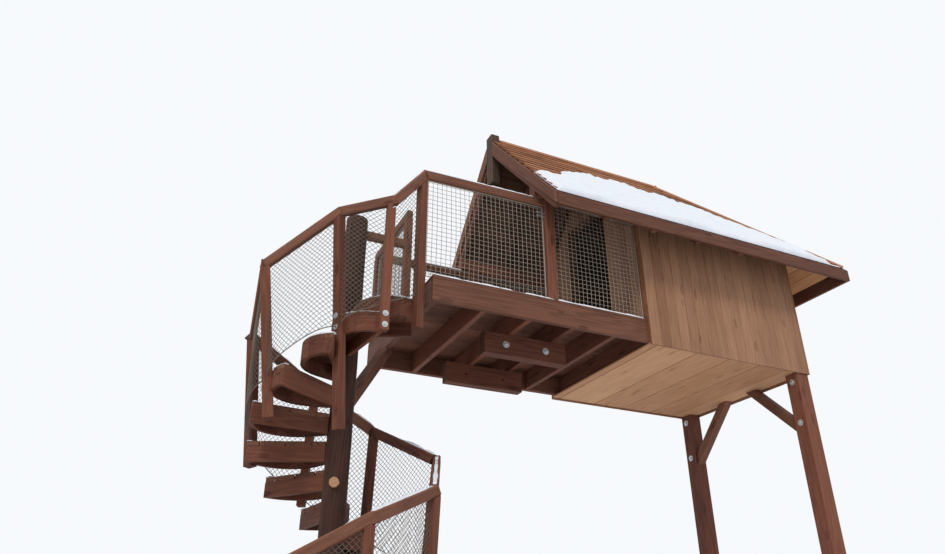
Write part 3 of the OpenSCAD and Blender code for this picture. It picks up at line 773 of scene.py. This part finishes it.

# CABIN LINING
# Wide tan boards close the cabin's underside. They run across it, and dark
# open joints part them. Their tan is painted lighter than the wall boards' own,
# for light thrown up from the snow below.
low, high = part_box("floor_lining")
joints, gap = np.array([low.x, 2.7, 3.16, 3.55, 3.935, 4.285, high.x]), 0.012
row = np.array([(x, low.y, low.z) for x in joints[:-1]])
lining = boards(row, np.diff(joints) - gap, (0, 0), (high.y - low.y,) * 2, Y, X, Z,
                high.z - low.z, 22, 0.004)
# painted light: the lining's stain is the tan boards' colour made lighter for bounce light from below
lining_painted_lit = wood("lining_painted_lit", (0.34, 0.15, 0.068), (0.64, 0.36, 0.195), contrast=0.7)
place(lining, "floor_lining_boards", lining_painted_lit, "tan_boards", "floor_lining")

# DECK GUARD AND PORCH
# Square posts with planed corners carry rails and plates. Square-meshed nets are
# stretched between them, from the deck's edge up to the rails.
for cad_node in ("deck_posts", "porch_posts"):
    timber(cad_node, red_stain, "red_cedar_stain", 0.007)
timber("wall_plates", red_stain, "red_cedar_stain", 0.006)
deck_mesh, thick, margin, net_inset = 0.043, 0.0046, 0.008, 0.004


def flat_bay(start, end, top, seed):
    """An upright net from start to end in plan, from just over the deck to a top."""
    start, end = np.array([*start, 0.0]), np.array([*end, 0.0])
    bottom = deck_z + margin
    width, height = float(np.linalg.norm(end - start)), top - margin - bottom
    way = (end - start) / width
    out = np.cross(way, Z)

    def lay(across, up):
        """The upright flat, bellied out by the slack and pulled a little out of true."""
        drift = 0.004 * np.sin(6 * up + seed) * np.sin(math.pi * across / width)
        sag = -0.01 * np.sin(math.pi * across / width) * np.sin(math.pi * up / height)
        belly = slack(across, up, width, height, 0.008, seed)
        flat = start + (across + drift)[..., None] * way + (bottom + up + sag)[..., None] * Z
        return flat + belly[..., None] * out, np.broadcast_to(out, flat.shape)

    return net_bay(width, height, lay, deck_mesh, 0, thick)


# painted light: the deck's and porch's cord, painted lighter as if lit by the sun
deck_cord_painted_lit = cord_finish("deck_cord_painted_lit", (0.14, 0.12, 0.1), (0.42, 0.37, 0.31))
bay_low, bay_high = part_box("porch_nets")
far_low, far_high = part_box("deck_net_far")
left_low, left_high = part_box("deck_net_left")
near_y, far_y, left_x = bay_low.y + net_inset, bay_high.y - net_inset, left_high.x - net_inset
for cad_node, rows in (
    ("porch_nets", [((bay_low.x + margin, y), (bay_high.x - margin, y), bay_high.z, k)
                    for k, y in enumerate((near_y, far_y))]),
    ("deck_net_near", [((heads[-1][0] + 0.035, heads[-1][1]), (porch_low.x - margin, near_y),
                        guard_z - 0.08, 5)]),
    ("deck_net_far", [((far_low.x + margin, far_y), (far_high.x - margin, far_y), far_high.z, 6)]),
    ("deck_net_left", [((left_x, left_low.y + margin), (left_x, left_high.y - margin), left_high.z, 7)]),
):
    net_piece(cad_node, [flat_bay(*row) for row in rows], deck_cord_painted_lit)

# PORCH STRAPS
# Two short zinc straps tie the near net's head rope to the porch post, each with
# one small screw.
strap_z, strap_back, strap_w, strap_t, screw_r = (5.245, 5.283), 0.085, 0.014, 0.003, 0.0035
row = np.array([(porch_low.x - strap_back, porch_low.y + 0.018, z) for z in strap_z])
straps = boards(row, strap_w, (0, 0), (0.095, 0.095), X, Z, -Y, strap_t, 61, 0.0008)
place(straps, "porch_post_straps", zinc, None)
bolts("strap_screws", [(spot + (0.01, -strap_t, strap_w / 2), -Y) for spot in row], screw_r)

# WALL BOARDS
# Upright boards about 115 mm wide clad the cabin and hang over its floor frame.
# They are 16 mm thick and stand proud of the wall slabs, which back them.
ridge_y, ridge_z, roof_t = 0.15, 6.68, 0.075
eave_reach, hip_run, drop_z = 1.27, 1.4, 1.435
slope, clad, board_w, gap = drop_z / eave_reach, 0.016, 0.115, 0.003
nail_spots, nail_r, nail_low, nail_high = [], 0.0017, 0.07, 0.12
backing = wood("wall_backing", (0.1, 0.035, 0.016), (0.34, 0.15, 0.07), by_object=True)
for cad_node in (
    "wall_near", "wall_far", "wall_end", "wall_front_near", "wall_front_far", "wall_over_door",
):
    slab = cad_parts[cad_node].data
    slab.materials.clear()
    slab.materials.append(backing)


def roof_under(across):
    """The underside of the roof at a distance from the ridge line."""
    return ridge_z - roof_t - slope * across


def cladding(name, start, across, out, length, bottom, top, seed):
    """Wall boards from start along across, between the heights bottom and top(s),
    where s is the distance from start, with two nails at foot, middle and head."""
    count = round(length / board_w)
    pitch = length / count
    first = pitch * np.arange(count)
    row = np.asarray(start) + first[:, None] * across
    upper = stacked(top(first), top(first + pitch - gap))
    mesh = boards(row, pitch - gap, (bottom, bottom), upper, Z, across, out, clad, seed, 0.004)
    place(mesh, name, tan_stain, "tan_boards")
    side = np.array([0.25, 0.75])[:, None] * (pitch - gap)
    foot, head = bottom + nail_low, top(first + side) - nail_high
    for share in (0.0, 0.5, 1.0):
        nail = row + side[..., None] * across + between(foot, head, share)[..., None] * Z + clad * out
        nail_spots.extend((spot, out) for spot in nail.reshape(-1, 3))


near_low, near_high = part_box("wall_near")
wall_low, wall_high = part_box("wall_far")
panel_low, panel_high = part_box("wall_front_near")
over_low, over_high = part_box("wall_over_door")
end_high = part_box("wall_end")[1]
half_wall = ridge_y - near_low.y
side_long, end_long, panel = near_high.x - near_low.x, 2 * (half_wall + clad), panel_high.y - panel_low.y
side_top, board_foot, front_foot = roof_under(half_wall + clad), near_low.z - 0.012, deck_z + 0.002
for name, start, across, out, length, top, seed in (
    ("wall_near_boards", (near_low.x, near_low.y, 0), X, -Y, side_long, side_top, 31),
    ("wall_far_boards", (wall_low.x, wall_high.y, 0), X, Y, side_long, side_top, 32),
    ("wall_end_boards", (end_high.x, near_low.y - clad, 0), Y, X, end_long, end_high.z - 0.02, 33),
):
    cladding(name, start, across, out, length, board_foot, lambda s, top=top: 0 * s + top, seed)
for name, start, length, foot, seed in (
    ("front_near_boards", panel_low.y, panel, front_foot, 34),
    ("over_door_boards", over_low.y, over_high.y - over_low.y, over_low.z, 35),
    ("front_far_boards", over_high.y, panel, front_foot, 36),
):
    cladding(name, (panel_low.x, start, 0), Y, -X, length, foot,
             lambda s, start=start: roof_under(np.abs(start + s - ridge_y)) - 0.004, seed)
nail_steel = metal("nail_steel", (0.16, 0.12, 0.1), 0.5)
bolts("wall_board_nails", nail_spots, nail_r, 6, nail_steel)

# ROOF FRAME
# A ridge beam and pairs of rafters, planks along the sloping gable edges, fascias
# along the eaves, and an old grey block where the ridge meets the gable.
for cad_node in ("ridge_beam", "rafters", "barge_boards", "eave_fascias"):
    timber(cad_node, brown_stain, "brown_stain", 0.006)
grey_stain = wood("grey_stain", (0.032, 0.019, 0.012), (0.115, 0.075, 0.05))
timber("king_block", grey_stain, "log_wood", 0.01)

# ROOF BOARDS
# Weatherboards lap down every slope and narrower boards cap the ridge and hips.
# Planed tan boards close the underside and show beneath the overhangs. Under the
# hip they are painted bright, for light thrown up from the snow below, and under
# the near and far eaves they are painted dark, for the shade there.
gable_x, hip_x, eave_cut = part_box("roof_near")[0].x, 3.59, 0.03
roof_stain = wood("roof_stain", (0.16, 0.062, 0.03), (0.5, 0.235, 0.12), contrast=1.1)
# painted light: the hip's soffit boards, painted bright for bounce light from below
soffit_painted_lit = wood("soffit_painted_lit", (0.44, 0.19, 0.08), (0.84, 0.48, 0.25), contrast=0.7)
# painted shade: the near and far soffit boards, painted dark for the shade under the eaves
shaded_soffit = wood("shaded_soffit", (0.085, 0.04, 0.024), (0.21, 0.11, 0.065), contrast=0.9)
ridge_end = np.array([hip_x, ridge_y, ridge_z])
slopes = {}
for name, top, along, ahead, run in (
    ("near", ridge_end - hip_x * X, X, -Y, eave_reach), ("far", ridge_end - hip_x * X, X, Y, eave_reach),
    ("hip", ridge_end, Y, X, hip_run),
):
    fall = math.atan(drop_z / run)
    down, out = (ahead * math.cos(fall) - Z * math.sin(fall), ahead * math.sin(fall) + Z * math.cos(fall))
    slopes[name] = top, along, down, out, fall, run - eave_cut


def slope_ends(name, reach):
    """Where a slope begins and ends along its length, at a level reach from its top."""
    if name == "hip":
        half = reach * eave_reach / hip_run
        return -half, half
    return gable_x + 0 * reach, hip_x + reach * hip_run / eave_reach


def course_boards(name, first, pitch, lift, depth, tilt, joints, finish, slot, seed, *nodes):
    """Rows of boards down one slope from first, at most pitch apart. Each row is
    tilted so that its foot laps the next, and is cut at joints random places."""
    rng = np.random.default_rng(seed)
    top, along, down, out, fall, limit = slopes[name]
    long = limit / math.cos(fall)
    count = math.ceil((long - first) / pitch)
    step = (long - first) / count
    lean, lap, joint = math.asin(tilt / step), 0.02 if tilt else -0.004, 0.003
    across = down * math.cos(lean) + out * math.sin(lean)
    corners, lower, upper, widths = [], [], [], []
    for k in range(count):
        edge = np.array([first + k * step, min(first + (k + 1) * step + lap, long)])
        begin, end = slope_ends(name, np.maximum(edge * math.cos(fall), 0.004))
        share = np.sort(rng.uniform(0.12, 0.88, joints if edge[0] > 0.3 or name != "hip" else 0))
        cuts = [begin, *(between(begin, end, s) for s in share), end]
        for a, b in zip(cuts, cuts[1:]):
            corners.append(top + down * edge[0] + out * lift)
            lower.append(a + joint / 2)
            upper.append(b - joint / 2)
            widths.append(edge[1] - edge[0])
    mesh = boards(corners, widths, lower, upper, along, across, out, depth, seed)
    place(mesh, "roof_%s_%s" % (name, "boards" if tilt else "soffit"), finish, slot, *nodes)


for name, seed in (("near", 41), ("far", 42), ("hip", 43)):
    lift = -roof_t * math.cos(slopes[name][4])
    # the hip's soffit takes the painted light, the near and far soffits the painted shade
    soffit = soffit_painted_lit if name == "hip" else shaded_soffit
    course_boards(name, 0.05, 0.145, -0.006, 0.016, 0.015, 2, roof_stain, "roof_boards", seed)
    course_boards(name, 0.0, 0.12, lift, 0.02, 0.0, 1, soffit, "tan_boards", seed + 10, "roof_" + name)


def caps(name, start, end, outs, width, seed):
    """Two boards along a line where slopes meet, one laid on each of them."""
    length, lift, lap, depth = np.linalg.norm(end - start), 0.014, 0.006, 0.018
    along = (end - start) / length
    for k, out in enumerate(outs):
        across = np.cross(along, out)
        across *= -np.sign(across[2])
        corner = [start + out * lift - across * lap]
        mesh = boards(corner, width, (0, 0), (length, length), along, across, out, depth, seed + k, 0.004)
        place(mesh, "%s_cap_%d" % (name, k), roof_stain, "roof_boards")


near_out, far_out, hip_out = (slopes[k][3] for k in ("near", "far", "hip"))
king_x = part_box("king_block")[1].x
caps("ridge", np.array([king_x, ridge_y, ridge_z]), ridge_end, (near_out, far_out), 0.105, 71)
for name, sign, out in (("hip_near", -1, near_out), ("hip_far", 1, far_out)):
    foot = ridge_end + (hip_run - eave_cut, sign * (eave_reach - eave_cut * slope), eave_cut - drop_z)
    caps(name, ridge_end, foot, (out, hip_out), 0.085, 75 + sign)

# SNOW
# A night's snow lies on the roof up to a ragged edge below the ridge, and in thin
# lines along the deck's edge, the rails and the rims of the steps.
snow_white, tree, shader = material("snow_white")
spot = node(tree, "ShaderNodeTexCoord").outputs["Object"]
soft = node(tree, "ShaderNodeTexNoise", Vector=spot, Scale=14.0, Detail=5.0, Roughness=0.6).outputs["Fac"]
relief = node(tree, "ShaderNodeBump", Strength=0.5, Distance=0.01, Height=soft)
# painted shade: the snow is mottled at random between white and a bluish grey that stands for snow in
# shade
wire(tree, shader, Base_Color=blend_colours(tree, soft, (0.7, 0.75, 0.84, 1), (0.86, 0.88, 0.9, 1)),
     Normal=relief.outputs[0], Roughness=0.75)


def waves(x, y, seed, steps=(1.3, 2.9, 6.1, 13.0, 27.0)):
    """Soft random ripples of two places, in about -1 to 1: sines of falling
    strength, each turned and shifted at random."""
    rng = np.random.default_rng(seed)
    total = np.zeros(np.broadcast(x, y).shape)
    for k, step in enumerate(steps):
        a, b, c = rng.uniform(0, 2 * math.pi, 3)
        total = total + np.sin(step * (x * math.cos(a) + y * math.sin(a)) * 2 + b + 1.3 * np.sin(
            step * (y * math.cos(a) - x * math.sin(a)) + c)) / (1 + 0.7 * k)
    return total / 1.8


def snow(name, sheets):
    """Closed sheets of snow. Each has a grid of places on what carries it, the
    way out and a depth over the grid; its top and its bed share their border."""
    points, faces, at = [], [], 0
    for bed, out, depth in sheets:
        rows, columns = depth.shape
        points += [(bed + out * depth[..., None]).reshape(-1, 3), (bed - 0.002 * out).reshape(-1, 3)]
        size = rows * columns
        spot = np.arange(size).reshape(rows, columns) + at
        quads = stacked(spot[:-1, :-1], spot[1:, :-1], spot[1:, 1:], spot[:-1, 1:]).reshape(-1, 4)
        line = np.concatenate([spot[0], spot[1:, -1], spot[-1, -2::-1], spot[-2:0:-1, 0]])
        after = np.roll(line, -1)
        faces += [quads, quads[:, ::-1] + size, stacked(line, after, after + size, line + size)]
        at += 2 * size
    mesh = shell(np.concatenate(points), faces)
    mesh.polygons.foreach_set("use_smooth", np.ones(len(mesh.polygons), bool))
    place(mesh, name, snow_white, None)


def slope_snow(name, bare, depth, seed):
    """Snow on a slope, which leaves the share bare(place) of it clear below the
    ridge and hips: deepest a hand's width inside its edges, ragged at the top."""
    top, along, down, out, fall, limit = slopes[name]
    long = limit / math.cos(fall) + 0.03
    u, v = np.linspace(0, 1, 190)[:, None], np.linspace(0, 1, 54)
    begin, end = slope_ends(name, np.full(1, limit))
    across = between(begin, end, u)
    if name == "hip":
        line = np.abs(across) * hip_run / eave_reach / math.cos(fall)
    else:
        line = np.maximum(across - hip_x, 0) * eave_reach / hip_run / math.cos(fall)
    share = bare(across) + 0.06 * waves(across * 1.4, 0 * u, seed)
    start = np.minimum(line + np.maximum((long - line) * share, bare_least), long - 0.02)
    reach = between(start, long, v)
    inner = np.minimum((reach - start) / 0.1, 1) * np.minimum((long - reach) / 0.03, 1)
    sides = np.clip(np.minimum(u, 1 - u) * (end - begin) / 0.05, 0, 1)
    height = depth * np.sqrt(np.clip(inner * sides, 0, 1))
    height = height * (1 + 0.3 * waves(across * 2, reach * 2, seed + 1))
    bed = top + across[..., None] * along + reach[..., None] * down + 0.008 * out
    return bed, out, np.maximum(height, 0.001)


bare_least = 0.28
snow("roof_snow", [
    slope_snow("near", lambda x: 0.36 + 0.27 * np.clip((2.25 - x) / 0.5, 0, 1), 0.042, 81),
    slope_snow("far", lambda x: 0.3 + 0 * x, 0.042, 82),
    slope_snow("hip", lambda y: 0.4 + 0 * y, 0.03, 83)])


def line_snow(start, end, out, width, depth, seed, cover):
    """Snow along a straight edge, in patches that cover a share of it, as a low
    half-round mound."""
    length = np.linalg.norm(end - start)
    way = (end - start) / length
    side = np.cross(way, out)
    rows = max(12, int(length / 0.025))
    u, v = np.linspace(0, 1, rows)[:, None], np.linspace(-1, 1, 9)
    patch = np.clip(waves(u * length * 1.5, 0 * u, seed) * 1.6 + cover * 1.4, 0, 1)
    ends = np.clip(np.minimum(u, 1 - u) * length / 0.03, 0, 1)
    across = v * width / 2 * (0.55 + 0.45 * patch)
    bed = start + (u * length)[..., None] * way + across[..., None] * side
    height = depth * patch * ends * np.sqrt(1 - v ** 2) * (1 + 0.25 * waves(u * length * 9, v, seed + 1))
    return bed, out, np.maximum(height, 0)


def arc_snow(tread, seed):
    """Snow along the outer rim of a step, from its rounded corner on, as a low
    half-round mound."""
    turns = np.linspace(4, 46, 26)
    radius, normal = np.array([edge_place(turn) for turn in turns]).T
    normal = level(front(tread) + normal)
    middle = radius[:, None] * level(front(tread) + turns) - rim_in * normal + Z * riser * tread
    u, v = np.linspace(0, 1, 26), np.linspace(-1, 1, 7)
    bed = middle[:, None] + v[:, None] * 0.02 * normal[:, None]
    ends = np.clip(np.minimum(u, 1 - u) / 0.06, 0, 1)
    patch = np.clip(waves(u * 1.2, 0 * u, seed) * 1.2 + 0.9, 0, 1) * ends
    return bed, Z, 0.016 * patch[:, None] * np.sqrt(1 - v ** 2)


rim_in, clear, sheets = 0.022, 0.03, []
for y, seed in ((deck_low.y + rim_in, 91), (deck_high.y - rim_in, 92)):
    start, end = (np.array([x, y, deck_z]) for x in (deck_low.x, near_low.x - clear))
    sheets.append(line_snow(start, end, Z, 0.042, 0.018, seed, 1.5))
for k, (a, b) in enumerate(zip(heads, heads[1:])):
    way = b - a
    up = unit(Z - way * way[2] / (way @ way))
    sheets.append(line_snow(a + clear * way, b - clear * way, up, 0.04, 0.014, 100 + k, 0.15))
for k, (a, b) in enumerate((
    (heads[-1], near_porch), (far_porch, corner_newel + clear * X), (corner_newel, newel),
)):
    sheets.append(line_snow(a, b, Z, 0.044, 0.018, 120 + k, 0.7))
snow("edge_snow", sheets)
snow("step_snow", [arc_snow(tread, 140 + tread) for tread in range(1, rises)])
